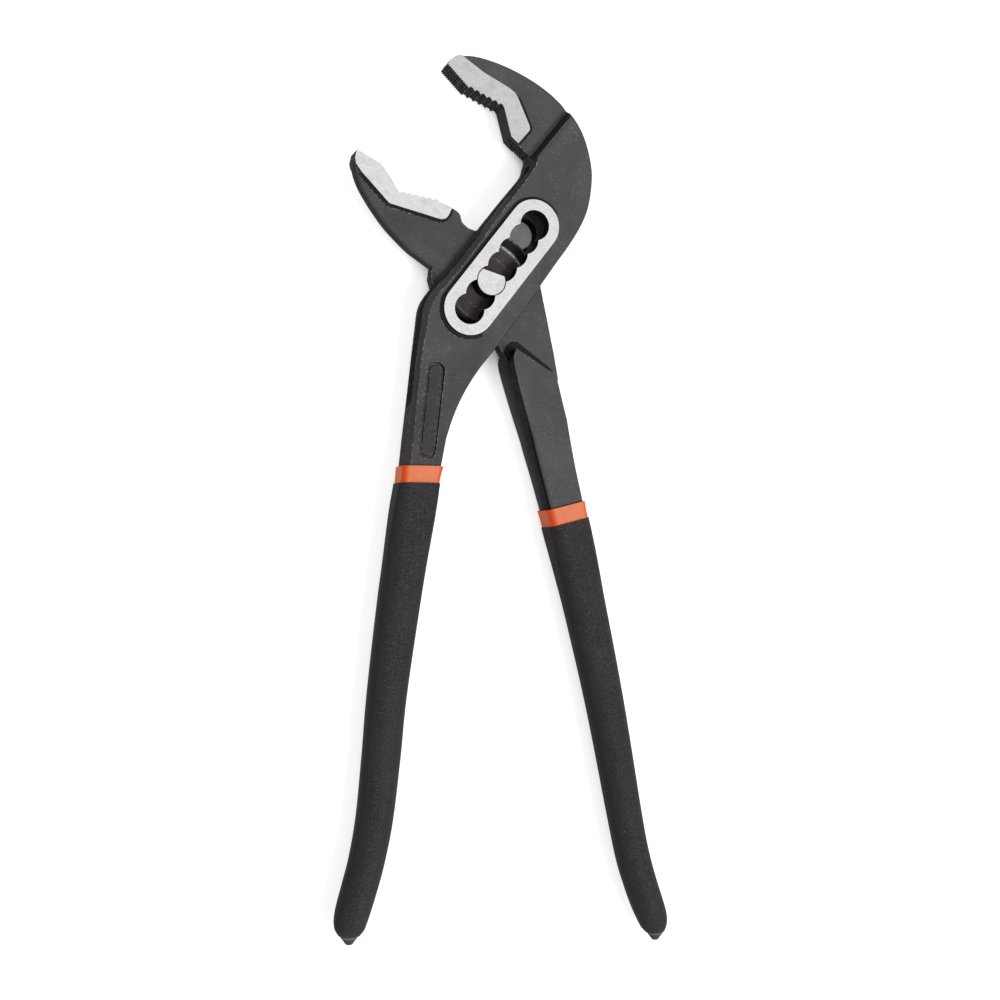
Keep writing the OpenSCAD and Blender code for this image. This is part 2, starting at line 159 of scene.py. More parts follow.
# Rungs of the inner arm below its shoulder: inner edge (x, y), outer edge (x, y), rise to the shoulder's
# thickness
SHOULDER = [
    (0.076, -0.190, 0.212, -0.261, 1.00),
    (0.067, -0.222, 0.219, -0.296, 0.98),
    (0.082, -0.286, 0.228, -0.340, 0.84),
    (0.104, -0.360, 0.239, -0.388, 0.70),
]
# Stations of the handles: share of REACH below the pivot, share of the splay, shares of HANDLE_W and
# HANDLE_T, and how far the section is square to the handle (0 is along X)
OUTER_HANDLE = [
    (0.237, 0.448, 1.12, 1.00, 0.0),
    (0.279, 0.478, 1.05, 1.00, 0.0),
    (0.305, 0.499, 0.98, 1.00, 0.0),
    (0.358, 0.539, 1.01, 1.00, 0.2),
    (0.479, 0.627, 0.95, 1.00, 0.6),
    (0.616, 0.713, 0.86, 0.98, 1.0),
    (0.705, 0.752, 0.83, 0.96, 1.0),
    (0.795, 0.799, 0.79, 0.94, 1.0),
    (0.855, 0.853, 0.76, 0.92, 1.0),
    (0.895, 0.905, 0.75, 0.90, 1.0),
    (0.923, 0.945, 0.73, 0.88, 1.0),
    (0.940, 0.966, 0.69, 0.80, 1.0),
    (0.952, 0.973, 0.60, 0.66, 1.0),
    (0.961, 0.975, 0.38, 0.42, 1.0),
]
INNER_HANDLE = [
    (0.234, 0.351, 1.18, 1.29, 1.0),
    (0.284, 0.396, 1.11, 1.18, 1.0),
    (0.331, 0.440, 1.08, 1.10, 1.0),
    (0.355, 0.461, 1.03, 1.08, 1.0),
    (0.450, 0.546, 1.00, 1.02, 1.0),
    (0.632, 0.691, 0.87, 0.98, 1.0),
    (0.821, 0.818, 0.76, 0.94, 1.0),
    (0.880, 0.863, 0.75, 0.92, 1.0),
    (0.920, 0.906, 0.73, 0.90, 1.0),
    (0.950, 0.944, 0.70, 0.88, 1.0),
    (0.972, 0.974, 0.64, 0.80, 1.0),
    (0.986, 0.987, 0.54, 0.66, 1.0),
    (0.996, 0.993, 0.34, 0.42, 1.0),
]
# Where the bands start and where the steel ends inside the grips, as shares of REACH
OUTER_BAND = 0.279
OUTER_STEEL = 0.915
INNER_BAND = 0.335
INNER_STEEL = 0.942

# Outlines seen from above, in shares of HEAD: the toothed side and the back of each jaw's ground face, the
# serrated strip in the throat, the tang with the two patches of painted shade on it, the mortise, and the
# middle line of the panel. The arcs are shares of a turn.
UPPER_TEETH = [(-0.120, 0.621), (-0.058, 0.560), (0.051, 0.513), (0.073, 0.431), (0.094, 0.413)]
UPPER_PAD = [(0.123, 0.447), (0.130, 0.456), (0.129, 0.468), (0.093, 0.547), (0.084, 0.561),
             (0.068, 0.572), (-0.012, 0.610), (-0.079, 0.653), (-0.095, 0.649), (-0.110, 0.637)]
LOWER_TEETH = [(-0.385, 0.350), (-0.316, 0.316), (-0.297, 0.294), (-0.262, 0.239), (-0.146, 0.224),
               (-0.106, 0.209)]
LOWER_PAD = [(-0.118, 0.184), (-0.126, 0.176), (-0.140, 0.173), (-0.287, 0.206), (-0.293, 0.209),
             (-0.370, 0.288), (-0.387, 0.311), (-0.390, 0.327)]
THROAT = [(0.072, 0.429), (0.130, 0.379)]
THROAT_BACK = [(0.150, 0.400), (0.100, 0.455)]
TANG_NECK = [(-0.158, -0.018), (-0.165, 0.006), (-0.161, 0.038), (-0.104, 0.193), (-0.083, 0.187),
             (-0.072, 0.169), (-0.054, 0.157)]
TANG_HANDLE = [(0.166, 0.012), (0.1725, -0.019), (0.179, -0.050), (0.189, -0.096), (0.198, -0.140),
               (0.209, -0.190), (0.222, -0.262), (0.2215, -0.285), (0.220, -0.306), (0.120, -0.300),
               (0.076, -0.245), (0.064, -0.222), (0.042, -0.184), (0.020, -0.152)]
HEEL_SHADE_PATCH = [(-0.1572, -0.0175), (-0.1641, 0.0062), (-0.1603, 0.0295), (-0.150, 0.026), (-0.138, -0.010),
             (-0.130, -0.060)]
SHOULDER_SHADE = [(0.052, -0.198), (0.061, -0.177), (0.076, -0.163), (0.095, -0.163), (0.109, -0.173),
                  (0.196, -0.234), (0.206, -0.246), (0.190, -0.270), (0.080, -0.240)]
TANG_ARC = (0.285, 0.040)
HEEL_ARC = (-0.225, -0.515)
MORTISE = [(-0.260, -0.400), (-0.220, -0.357), (-0.178, -0.262), (-0.150, -0.236), (-0.122, -0.242),
           (-0.100, -0.290), (-0.064, -0.321), (0.060, -0.318), (0.360, 0.000), (0.360, 0.312),
           (0.205, 0.330), (0.124, 0.363), (0.060, 0.400), (-0.197, 0.018)]
LABEL = [(-0.157, -0.262), (-0.182, -0.484)]


def scaled(points):
    """Shares of HEAD turned into millimetres."""
    return [tuple(HEAD * c for c in p) for p in points]


def curve(rows, steps):
    """A smooth curve through rows of numbers, with so many steps from one row to the next."""
    rows = np.array(rows, float)
    last = len(rows) - 1
    out = []
    for i in range(last):
        a, b, c, d = (rows[min(max(j, 0), last)] for j in (i - 1, i, i + 1, i + 2))
        for k in np.arange(steps) / steps:
            out.append(b + (c - a) * k / 2 + (2 * a - 5 * b + 4 * c - d) * k * k / 2
                       + (3 * b - a - 3 * c + d) * k ** 3 / 2)
    out.append(rows[last])
    return np.array(out)


def arc(radius, start, end, steps=48):
    """Points on a circle round the pivot, between two shares of a turn."""
    turns = np.linspace(start, end, steps + 1) * 2 * math.pi
    return [(radius * math.cos(t), radius * math.sin(t)) for t in turns]


def circle(radius, steps):
    """Points on a whole circle round the pivot."""
    return arc(radius, 0, 1 - 1 / steps, steps - 1)


def in_slot(s):
    """The point of the slot's centre line this far from the pivot."""
    return Vector((s * math.cos(SLOT_ANGLE), s * math.sin(SLOT_ANGLE)))


def mesh_object(name, points, faces, material=None):
    """An object from millimetre points, in the scene, with its faces pointing outwards."""
    mesh = bpy.data.meshes.new(name)
    mesh.from_pydata([tuple(float(c) * MM for c in p) for p in points], [], faces)
    bm = bmesh.new()
    bm.from_mesh(mesh)
    bmesh.ops.remove_doubles(bm, verts=bm.verts, dist=SAME_POINT)
    bmesh.ops.recalc_face_normals(bm, faces=bm.faces)
    bm.to_mesh(mesh)
    bm.free()
    obj = bpy.data.objects.new(name, mesh)
    bpy.context.scene.collection.objects.link(obj)
    if material:
        mesh.materials.append(material)
    return obj


def prism(name, outline, low, high):
    """An outline seen from above, filled between two heights."""
    n = len(outline)
    points = [(x, y, low) for x, y in outline] + [(x, y, high) for x, y in outline]
    sides = [(i, (i + 1) % n, n + (i + 1) % n, n + i) for i in range(n)]
    caps = [tuple(reversed(range(n))), tuple(range(n, 2 * n))]
    return mesh_object(name, points, sides + caps)


def loft(name, rings, material=None):
    """Rings of points, equal in number, joined into one closed solid."""
    n = len(rings[0])
    last = n * (len(rings) - 1)
    faces = [tuple(reversed(range(n))), tuple(range(last, last + n))]
    for j in range(len(rings) - 1):
        for i in range(n):
            k = (i + 1) % n
            faces.append((j * n + i, j * n + k, j * n + n + k, j * n + n + i))
    return mesh_object(name, [p for ring in rings for p in ring], faces, material)


def stack(name, levels):
    """Outlines seen from above at rising heights, joined into one closed solid."""
    return loft(name, [[(x, y, z) for x, y in outline] for outline, z in levels])


def rung_ring(rung, steps_left, steps_right):
    """Points round a bar at one rung: over the top from its left side to its right, and back below."""
    left, right = np.array(rung[0:2]), np.array(rung[2:4])
    h_left, h_right, c_left, c_right = rung[4:8]
    width = np.linalg.norm(right - left)
    along = (right - left) / width
    tilt = (h_right - h_left) / width
    turns = np.linspace(0, math.pi / 2, steps_left + 1)
    top = [(c_left * (1 - math.cos(a)), h_left - c_left * (1 - math.sin(a))) for a in turns]
    top = [(inward, h + tilt * inward) for inward, h in top]
    turns = np.linspace(math.pi / 2, 0, steps_right + 1)
    over = [(c_right * (1 - math.cos(a)), h_right - c_right * (1 - math.sin(a))) for a in turns]
    top += [(width - inward, h - tilt * inward) for inward, h in over]
    ring = [(*(left + along * s), MID + h) for s, h in top]
    return ring + [(*(left + along * s), MID - h) for s, h in reversed(top)]


def bar(name, rungs, material=None, steps_left=6, steps_right=6):
    """A bar with the cross-section of each rung in turn."""
    return loft(name, [rung_ring(r, steps_left, steps_right) for r in rungs], material)


def handle_rungs(shares, splay, start, end, coat, bevel=BEVEL, last_bevel=None):
    """Rungs of a handle between two shares of its reach, grown by a coat and rounder further down."""
    rows = curve(shares, HANDLE_STEPS)

    def at(a, column):
        return float(np.interp(a, rows[:, 0], rows[:, column]))

    near = 0.01  # the share of the reach, up and down, over which the lean is measured
    stations = [start] + [a for a in rows[:, 0] if start + 0.001 < a < end - 0.001] + [end]
    rungs = []
    for a in stations:
        lean = np.array([splay * (at(a + near, 1) - at(a - near, 1)), -2 * near * REACH])
        across = np.array([-lean[1], lean[0] * at(a, 4)])
        across /= np.linalg.norm(across)
        centre = np.array([splay * at(a, 1), -REACH * a])
        half_w = HANDLE_W * at(a, 2) / 2 + coat
        half_t = HANDLE_T * at(a, 3) / 2 + coat
        rounding = float(np.interp(a, (start + 0.02, start + 0.12), (bevel, last_bevel or bevel)))
        corner = min(rounding + coat, half_w - COAT_GAP, half_t - COAT_GAP)
        left, right = centre - across * half_w, centre + across * half_w
        rungs.append((*left, *right, half_t, half_t, corner, corner))
    return rungs


def carve(obj, cutter, operation="DIFFERENCE"):
    """Applies an exact boolean, gives obj the resulting mesh and removes the cutter."""
    modifier = obj.modifiers.new("carve", "BOOLEAN")
    modifier.operation = operation
    modifier.solver = "EXACT"
    modifier.object = cutter
    flatten(obj)
    bpy.data.objects.remove(cutter)


def flatten(obj):
    """Turns the modifiers' result into a plain mesh and removes them."""
    bpy.context.view_layer.update()
    depsgraph = bpy.context.evaluated_depsgraph_get()
    mesh = bpy.data.meshes.new_from_object(obj.evaluated_get(depsgraph), depsgraph=depsgraph)
    obj.modifiers.clear()
    obj.data = mesh


def slivers(bm):
    """Faces in islands too small to be a part of the shape, which exact booleans can leave."""
    seen = set()
    found = []
    for face in bm.faces:
        if face in seen:
            continue
        seen.add(face)
        island, front = [], [face]
        while front:
            reached = front.pop()
            island.append(reached)
            for edge in reached.edges:
                others = edge.link_faces if len(edge.link_faces) == 2 else ()
                for other in others:
                    if other not in seen:
                        seen.add(other)
                        front.append(other)
        if len(island) < SMALLEST_ISLAND:
            found += island
    return found


def weld_seams(bm):
    """Splits each open edge where the end of another open edge lies on it, and joins the two sides."""
    def lies_on(vert, edge):
        a, b = (v.co for v in edge.verts)
        detour = (vert.co - a).length + (vert.co - b).length
        return vert not in edge.verts and detour < (b - a).length + slack

    slack = WELD / 10
    for _ in range(MOST_SPLITS):
        rims = [edge for edge in bm.edges if len(edge.link_faces) == 1]
        ends = dict.fromkeys(vert for edge in rims for vert in edge.verts)
        split = next(((edge, vert) for edge in rims for vert in ends if lies_on(vert, edge)), None)
        if not split:
            break
        edge, vert = split
        a, b = edge.verts
        bmesh.utils.edge_split(edge, a, (vert.co - a.co).length / (b.co - a.co).length)
        bmesh.ops.remove_doubles(bm, verts=bm.verts, dist=WELD)


def finish_shape(obj, angle=32):
    """Cleans the mesh, and shades it smooth but for edges sharper than the angle."""
    bm = bmesh.new()
    bm.from_mesh(obj.data)
    bmesh.ops.remove_doubles(bm, verts=bm.verts, dist=WELD)
    bmesh.ops.dissolve_degenerate(bm, edges=bm.edges, dist=WELD / 2)
    bmesh.ops.delete(bm, geom=slivers(bm), context="FACES")
    weld_seams(bm)
    bm.to_mesh(obj.data)
    bm.free()
    obj.data.shade_smooth()
    obj.data.set_sharp_from_angle(angle=math.radians(angle))
    modifier = obj.modifiers.new("flat_faces_stay_flat", "WEIGHTED_NORMAL")
    modifier.keep_sharp = True
    modifier.weight = 90
    flatten(obj)


def copies_tree():
    """Geometry Nodes that set a shape in a straight row and give the row its material."""
    tree = bpy.data.node_groups.new("row_of_copies", "GeometryNodeTree")
    sockets = {"Geometry": "Geometry", "Count": "Int", "First": "Vector", "Step": "Vector",
               "Material": "Material"}
    for name, kind in sockets.items():
        tree.interface.new_socket(name, in_out="INPUT", socket_type="NodeSocket" + kind)
    tree.interface.new_socket("Geometry", in_out="OUTPUT", socket_type="NodeSocketGeometry")
    source = tree.nodes.new("NodeGroupInput")
    line = tree.nodes.new("GeometryNodeMeshLine")
    line.mode = "OFFSET"
    instance = tree.nodes.new("GeometryNodeInstanceOnPoints")
    realize = tree.nodes.new("GeometryNodeRealizeInstances")
    coat = tree.nodes.new("GeometryNodeSetMaterial")
    sink = tree.nodes.new("NodeGroupOutput")
    for giver, given, taker, taken in (
            (source, "Count", line, "Count"), (source, "First", line, "Start Location"),
            (source, "Step", line, "Offset"), (line, "Mesh", instance, "Points"),
            (source, "Geometry", instance, "Instance"), (instance, "Instances", realize, "Geometry"),
            (realize, "Geometry", coat, "Geometry"), (source, "Material", coat, "Material"),
            (coat, "Geometry", sink, "Geometry")):
        tree.links.new(giver.outputs[given], taker.inputs[taken])
    return tree


COPIES = copies_tree()


def row_of(obj, count, first, step, material):
    """Turns obj into count copies of itself, the first moved by one vector and each next by another."""
    modifier = obj.modifiers.new("row", "NODES")
    modifier.node_group = COPIES
    values = {"Count": int(count), "First": [c * MM for c in first], "Step": [c * MM for c in step],
              "Material": material}
    for item in COPIES.interface.items_tree:
        if item.in_out == "INPUT" and item.name in values:
            modifier[item.identifier] = values[item.name]
    flatten(obj)
    return obj


def finish(name):
    """A new node material, with its Principled shader and its Object coordinates."""
    material = bpy.data.materials.new(name)
    material.use_nodes = True
    nodes = material.node_tree.nodes
    shader = nodes["Principled BSDF"]
    place = nodes.new("ShaderNodeTexCoord")
    return material, shader, place.outputs["Object"]


def node(material, kind, inputs=None, **settings):
    """A node with its settings and inputs, each either a value or another node's output."""
    made = material.node_tree.nodes.new(kind)
    for key, value in settings.items():
        setattr(made, key, value)
    for key, value in (inputs or {}).items():
        socket = made.inputs[key]
        if isinstance(value, bpy.types.NodeSocket):
            material.node_tree.links.new(value, socket)
        else:
            socket.default_value = value
    return made


def noise(material, place, size_mm, detail=3.0, rough=0.55):
    """Noise whose features are about this many millimetres wide."""
    inputs = {"Vector": place, "Scale": 1000.0 / size_mm, "Detail": detail, "Roughness": rough}
    return node(material, "ShaderNodeTexNoise", inputs).outputs[0]


def spread(material, value, low, high, to_low=0.0, to_high=1.0):
    """Maps a value's range to another, held at both ends."""
    inputs = {0: value, 1: low, 2: high, 3: to_low, 4: to_high}
    return node(material, "ShaderNodeMapRange", inputs).outputs[0]


def blend(material, share, a, b):
    """A colour between a and b."""
    mix = node(material, "ShaderNodeMix", data_type="RGBA")
    for socket, value in ((mix.inputs[0], share), (mix.inputs[6], a), (mix.inputs[7], b)):
        if isinstance(value, bpy.types.NodeSocket):
            material.node_tree.links.new(value, socket)
        else:
            socket.default_value = (*value, 1.0) if isinstance(value, tuple) else value
    return mix.outputs[2]


def maths(material, operation, a, b):
    """A sum, product or the like of two values."""
    return node(material, "ShaderNodeMath", {0: a, 1: b}, operation=operation).outputs[0]


def relief(material, shader, heights):
    """Bump from a list of (height, depth in millimetres)."""
    normal = None
    for height, depth in heights:
        bump = node(material, "ShaderNodeBump", {"Height": height, "Distance": depth * MM, "Strength": 1.0})
        if normal:
            material.node_tree.links.new(normal, bump.inputs["Normal"])
        normal = bump.outputs["Normal"]
    material.node_tree.links.new(normal, shader.inputs["Normal"])


def edge_mask(material, radius_mm):
    """1 on sharp outer and inner edges, 0 on flat faces and shallow creases."""
    soft = node(material, "ShaderNodeBevel", {"Radius": radius_mm * MM}, samples=4).outputs[0]
    true = node(material, "ShaderNodeNewGeometry").outputs["Normal"]
    dot = node(material, "ShaderNodeVectorMath", {0: soft, 1: true}, operation="DOT_PRODUCT")
    return spread(material, dot.outputs["Value"], 0.98, 0.88)


def upward(material, low=0.50, high=0.97):
    """1 on faces that lie flat, 0 on upright ones."""
    normal = node(material, "ShaderNodeNewGeometry").outputs["Normal"]
    height = node(material, "ShaderNodeSeparateXYZ", {0: normal}).outputs[2]
    return spread(material, maths(material, "ABSOLUTE", height, 0.0), low, high)


def forged_finish(name, tone, wear, shine, tint=(1.0, 0.945, 0.985), painted_bounce_tone=None, painted_fade=None):
    """Phosphated drop forging: matt, with painted shade down its sides, fine scale and specks along its edges.

    The tone below is painted light bounced from the floor, the tone near it. The fade is painted shade along
    y: (y where it starts, y where it is full, how dark).
    """
    m, shader, place = finish(name)
    cloud = noise(m, place, 13.0, 4.0)
    grain = noise(m, place, 0.5, 3.0)
    scale = noise(m, place, 1.9, 3.0)
    speck = noise(m, place, 0.9, 3.0)

    def shade(share):
        return tuple(share * channel for channel in tint)

    colour = blend(m, spread(m, cloud, 0.32, 0.68), shade(tone * 0.84), shade(tone * 1.14))
    cluster = spread(m, noise(m, place, 6.0, 4.0), 0.46, 0.62, 0.2, 1.0)
    speckled = maths(m, "MULTIPLY", spread(m, grain, 0.50, 0.70, 0.0, 0.7), cluster)
    colour = blend(m, speckled, colour, shade(tone * 2.3))
    # painted shade: upright faces are darker than flat ones
    flat = upward(m, 0.40, 0.85)
    colour = blend(m, flat, shade(tone * 0.62), colour)
    # painted light bounced from the floor: lighter near the floor
    if painted_bounce_tone:
        height = node(m, "ShaderNodeSeparateXYZ", {0: place}).outputs[2]
        colour = blend(m, spread(m, height, 0.001, 0.009), shade(painted_bounce_tone), colour)
    # painted shade: darker along y
    if painted_fade:
        along = node(m, "ShaderNodeSeparateXYZ", {0: place}).outputs[1]
        colour = blend(m, spread(m, along, painted_fade[0], painted_fade[1], 0.0, painted_fade[2]), colour, (0.0, 0.0, 0.0))
    rubbed = maths(m, "MULTIPLY", edge_mask(m, 0.45), spread(m, speck, 0.50, 0.60))
    fleck = spread(m, noise(m, place, 0.8, 2.0), 0.75, 0.79)
    fleck = maths(m, "MULTIPLY", fleck, spread(m, cloud, 0.45, 0.6))
    bare = maths(m, "MAXIMUM", maths(m, "MULTIPLY", rubbed, 0.7), maths(m, "MULTIPLY", fleck, 0.45))
    colour = blend(m, maths(m, "MULTIPLY", bare, wear), colour, (0.55, 0.53, 0.54))
    m.node_tree.links.new(colour, shader.inputs["Base Color"])
    m.node_tree.links.new(spread(m, scale, 0.3, 0.7, 0.50, 0.66), shader.inputs["Roughness"])
    m.node_tree.links.new(spread(m, flat, 0.0, 1.0, 0.03, shine), shader.inputs["Specular IOR Level"])
    relief(m, shader, [(cloud, 0.25), (scale, 0.03), (grain, 0.03)])
    return m


def ground_finish(name, tone):
    """Bright steel, ground flat: soft grey blotches, fine mottling, a few dark pits and scratches."""
    m, shader, place = finish(name)
    fine = noise(m, place, 0.45, 4.0, 0.7)
    patch = noise(m, place, 2.6, 3.0, 0.6)
    low, high, grey = (tuple(tone * share * c for c in (1.0, 0.985, 0.99)) for share in (0.82, 1.08, 0.70))
    colour = blend(m, spread(m, fine, 0.36, 0.64), low, high)
    colour = blend(m, spread(m, patch, 0.46, 0.72, 0.0, 0.8), colour, grey)
    stretched = {"Vector": place, "Rotation": (0.0, 0.0, 0.9), "Scale": (1.0, 0.08, 1.0)}
    lines = node(m, "ShaderNodeMapping", stretched)
    scratch = spread(m, noise(m, lines.outputs[0], 0.35, 2.0), 0.66, 0.74, 0.0, 0.3)
    pit = spread(m, noise(m, place, 0.7, 2.0), 0.73, 0.77, 0.0, 0.6)
    colour = blend(m, maths(m, "MAXIMUM", scratch, pit), colour, (0.22, 0.21, 0.22))
    m.node_tree.links.new(colour, shader.inputs["Base Color"])
    m.node_tree.links.new(spread(m, patch, 0.3, 0.7, 0.36, 0.55), shader.inputs["Roughness"])
    shader.inputs["Metallic"].default_value = 0.25
    relief(m, shader, [(fine, 0.006), (patch, 0.02)])
    return m


def worn_finish():
    """Dark steel rubbed bright where it slides."""
    m, shader, place = finish("worn_steel")
    scratch = noise(m, place, 0.6, 4.0, 0.7)
    colour = blend(m, spread(m, scratch, 0.42, 0.62), (0.12, 0.11, 0.10), (0.90, 0.88, 0.86))
    m.node_tree.links.new(colour, shader.inputs["Base Color"])
    m.node_tree.links.new(spread(m, scratch, 0.3, 0.7, 0.30, 0.5), shader.inputs["Roughness"])
    shader.inputs["Metallic"].default_value = 0.4
    relief(m, shader, [(scratch, 0.02)])
    return m


def band_finish():
    """Orange vinyl, with painted shading: a deeper orange along its corners and another orange on its sides.
    """
    m, shader, place = finish("orange_coat")
    cloud = noise(m, place, 4.0, 2.0)
    face = blend(m, spread(m, cloud, 0.3, 0.7), (0.83, 0.225, 0.105), (0.90, 0.262, 0.132))
    # painted shading: a deeper orange on the corners, another on the upright sides
    colour = blend(m, upward(m, 0.86, 0.98), (0.96, 0.120, 0.022), face)
    colour = blend(m, upward(m, 0.0, 0.4), (0.98, 0.210, 0.090), colour)
    m.node_tree.links.new(colour, shader.inputs["Base Color"])
    m.node_tree.links.new(spread(m, cloud, 0.3, 0.7, 0.34, 0.46), shader.inputs["Roughness"])
    m.node_tree.links.new(spread(m, upward(m), 0.0, 1.0, 0.04, 0.18), shader.inputs["Specular IOR Level"])
    relief(m, shader, [(noise(m, place, 1.6, 2.0), 0.04)])
    return m


def grip_finish(name, low, high, grain_depth, side=0.042):
    """Black vinyl with a fine pebbled grain, painted shade on its sides and a few painted glints."""
    black = (1.0, 0.92, 0.98)
    m, shader, place = finish(name)
    cell = node(m, "ShaderNodeTexVoronoi", {"Vector": place, "Scale": 1000.0 / 0.7}, feature="F1")
    grain = noise(m, place, 0.45, 4.0, 0.6)
    cloud = noise(m, place, 9.0, 3.0)
    tones = (low * 0.8, low * 1.2, high, side)
    dark, pale, grained, down = (tuple(tone * channel for channel in black) for tone in tones)
    base = blend(m, spread(m, cloud, 0.3, 0.7), dark, pale)
    colour = blend(m, spread(m, grain, 0.44, 0.72), base, grained)
    # painted shade: upright sides take the side tone
    colour = blend(m, upward(m), down, colour)
    # a few painted glints
    painted_glint = spread(m, noise(m, place, 0.7, 2.0), 0.70, 0.76, 0.0, 0.5)
    colour = blend(m, painted_glint, colour, (0.26, 0.25, 0.26))
    m.node_tree.links.new(colour, shader.inputs["Base Color"])
    m.node_tree.links.new(spread(m, grain, 0.3, 0.7, 0.5, 0.7), shader.inputs["Roughness"])
    m.node_tree.links.new(spread(m, upward(m), 0.0, 1.0, 0.03, 0.12), shader.inputs["Specular IOR Level"])
    relief(m, shader, [(cell.outputs[0], 0.5 * grain_depth), (grain, grain_depth)])
    return m


# each forging fades to painted shade along its length
FORGED = forged_finish("forged_steel", 0.081, 1.25, 0.25, painted_fade=(-0.010, -0.026, 0.18))
FORGED_INNER = forged_finish("forged_steel_inner", 0.081, 1.25, 0.25, painted_fade=(0.002, 0.014, 0.14))
# painted half shade: a darker copy of the forging for faces turned partly from the light
PAINTED_HALF_SHADE = forged_finish("forged_steel_painted_half_shade", 0.050, 0.5, 0.2)
# painted shade with a warm tint, for the boss's face and the patch by the heel
WARM_PAINTED_SHADE = forged_finish("forged_steel_warm_painted_shade", 0.058, 0.5, 0.2, tint=(1.0, 0.86, 0.80))
# painted shade down the inner handle's left side, lighter near the floor as painted bounce light
PAINTED_SHADE_SIDE = forged_finish("forged_steel_painted_shade_side", 0.020, 0.3, 0.08, painted_bounce_tone=0.13)
# painted shade: a dark copy of the forging for corners, gaps and faces turned from the light
PAINTED_SHADE = forged_finish("forged_steel_painted_shade", 0.021, 0.1, 0.08, tint=(1.0, 0.84, 0.88))
GROUND = ground_finish("ground_steel", 0.93)
GROUND_DULL = ground_finish("ground_steel_dull", 0.76)
WORN = worn_finish()
BAND = band_finish()
GRIP = grip_finish("black_coat", 0.027, 0.072, 0.08)
DRIP = grip_finish("black_coat_drip", 0.068, 0.085, 0.01, side=0.068)
# a painted sheen for the rim at the top of the drip
DRIP_PAINTED_SHEEN = grip_finish("black_coat_drip_painted_sheen", 0.145, 0.165, 0.01, side=0.15)


def toothed(a, b, count, depth, bottoms=(0.5,)):
    """A serrated edge from a to b, notched on the left of the way. Bottoms are shares of one tooth."""
    a, b = np.array(a), np.array(b)
    way = b - a
    inward = np.array([-way[1], way[0]]) / np.linalg.norm(way)
    out = []
    for i in range(count):
        out.append(tuple(a + way * i / count))
        for k in bottoms:
            out.append(tuple(a + way * (i + k) / count + inward * depth))
    return out


def slot_outline():
    """Seven overlapping circles as one outline, up one side of the slot and down the other."""
    neck = math.acos(PITCH / 2 / SCALLOP_R)
    along = in_slot(1.0)
    side = Vector((-along.y, along.x))
    last = SCALLOPS - 1
    spans = [(k, math.pi if k == 0 else math.pi - neck, 0.0 if k == last else neck) for k in range(SCALLOPS)]
    spans += [(k, 0.0 if k == last else -neck, -math.pi if k == 0 else -math.pi + neck)
              for k in range(last, -1, -1)]
    points = []
    for k, start, end in spans:
        for t in np.linspace(start, end, 20):
            out = along * math.cos(t) + side * math.sin(t)
            points.append(in_slot(SLOT_LOW + k * PITCH) + out * SCALLOP_R)
    apart = 1e-4
    clean = [points[0]]
    for p in points[1:]:
        if (p - clean[-1]).length > apart:
            clean.append(p)
    if (clean[0] - clean[-1]).length < apart:
        clean.pop()
    return [tuple(p) for p in clean]


def stadium(start, end, r):
    """An outline with round ends, this far out from the line between two points."""
    start, end = Vector(start), Vector(end)
    along = (end - start).normalized()
    side = Vector((-along.y, along.x))
    turns = np.linspace(0, math.pi, 25)
    first = [start + (side * math.cos(t) - along * math.sin(t)) * r for t in turns]
    second = [end + (-side * math.cos(t) + along * math.sin(t)) * r for t in turns]
    return [tuple(p) for p in first + second]


def grown(points, out):
    """An open outline moved sideways to the left of the way along it."""
    points = [np.array(p) for p in points]
    moved = []
    for i, p in enumerate(points):
        way = points[min(i + 1, len(points) - 1)] - points[max(i - 1, 0)]
        way = way / np.linalg.norm(way)
        moved.append(tuple(p + np.array([-way[1], way[0]]) * out))
    return moved


def fine_teeth(a, b):
    """How many fine teeth fit between two points."""
    return round(math.dist(a, b) / FINE_PITCH)


def grooves(obj, a, b):
    """Cuts a row of V grooves across the edge from a to b, deep to the left of the way from a to b."""
    count = fine_teeth(a, b)
    a, b = Vector(a), Vector(b)
    step = (b - a) / count
    inward = Vector((-step.y, step.x)).normalized()
    half = step * 0.46
    notch = [tuple(-half - inward * 0.5), tuple(half - inward * 0.5), tuple(half * 0.9),
             tuple(inward * FINE_DEPTH), tuple(-half * 0.9)]
    first = (*(a + step / 2), 0.0)
    # the cut faces take the painted shade material until the arm is painted
    carve(obj, row_of(prism("notch", notch, *RIGHT_THROUGH), count, first, (*step, 0.0), PAINTED_SHADE))


def paint(obj, rule, *materials):
    """Gives each face the material that the rule picks from its centre and normal, in millimetres."""
    obj.data.materials.clear()
    for material in materials:
        obj.data.materials.append(material)
    for polygon in obj.data.polygons:
        polygon.material_index = materials.index(rule(polygon.center / MM, polygon.normal))


def hand_in(obj, cad_node, body):
    """Hides the solid that this piece dresses and parents the piece to the body it moves with."""
    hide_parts(cad_node)
    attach(obj, body)


def slot_distance(x, y):
    """Distance from the centre line of the slot, in plan."""
    along = in_slot(1.0)
    s = min(max(x * along.x + y * along.y, SLOT_LOW), SLOT_HIGH)
    return math.hypot(x - s * along.x, y - s * along.y)


def add_seat(obj, outline, out, height):
    """A low seat round part of a ground face, standing this far out from it on both sides."""
    around = grown(outline, out) + list(reversed(grown(outline, -out / 2)))
    carve(obj, prism("seat", around, MID - height, MID + height), "UNION")


# Heights up the outer arm, for its materials
UPPER_JAW_ABOVE = 36
UPPER_PAD_ABOVE = 38
COARSE_TEETH_FROM = 43
COARSE_TEETH_TO = 56
# The rounded foot of the ground rings: how far out from the ring, and how far up from the box joint
RING_FOOT = [(1.15, -0.1), (0.9, 0.05), (0.55, 0.13), (0.25, 0.28), (0.06, 0.5), (0.0, 0.8)]


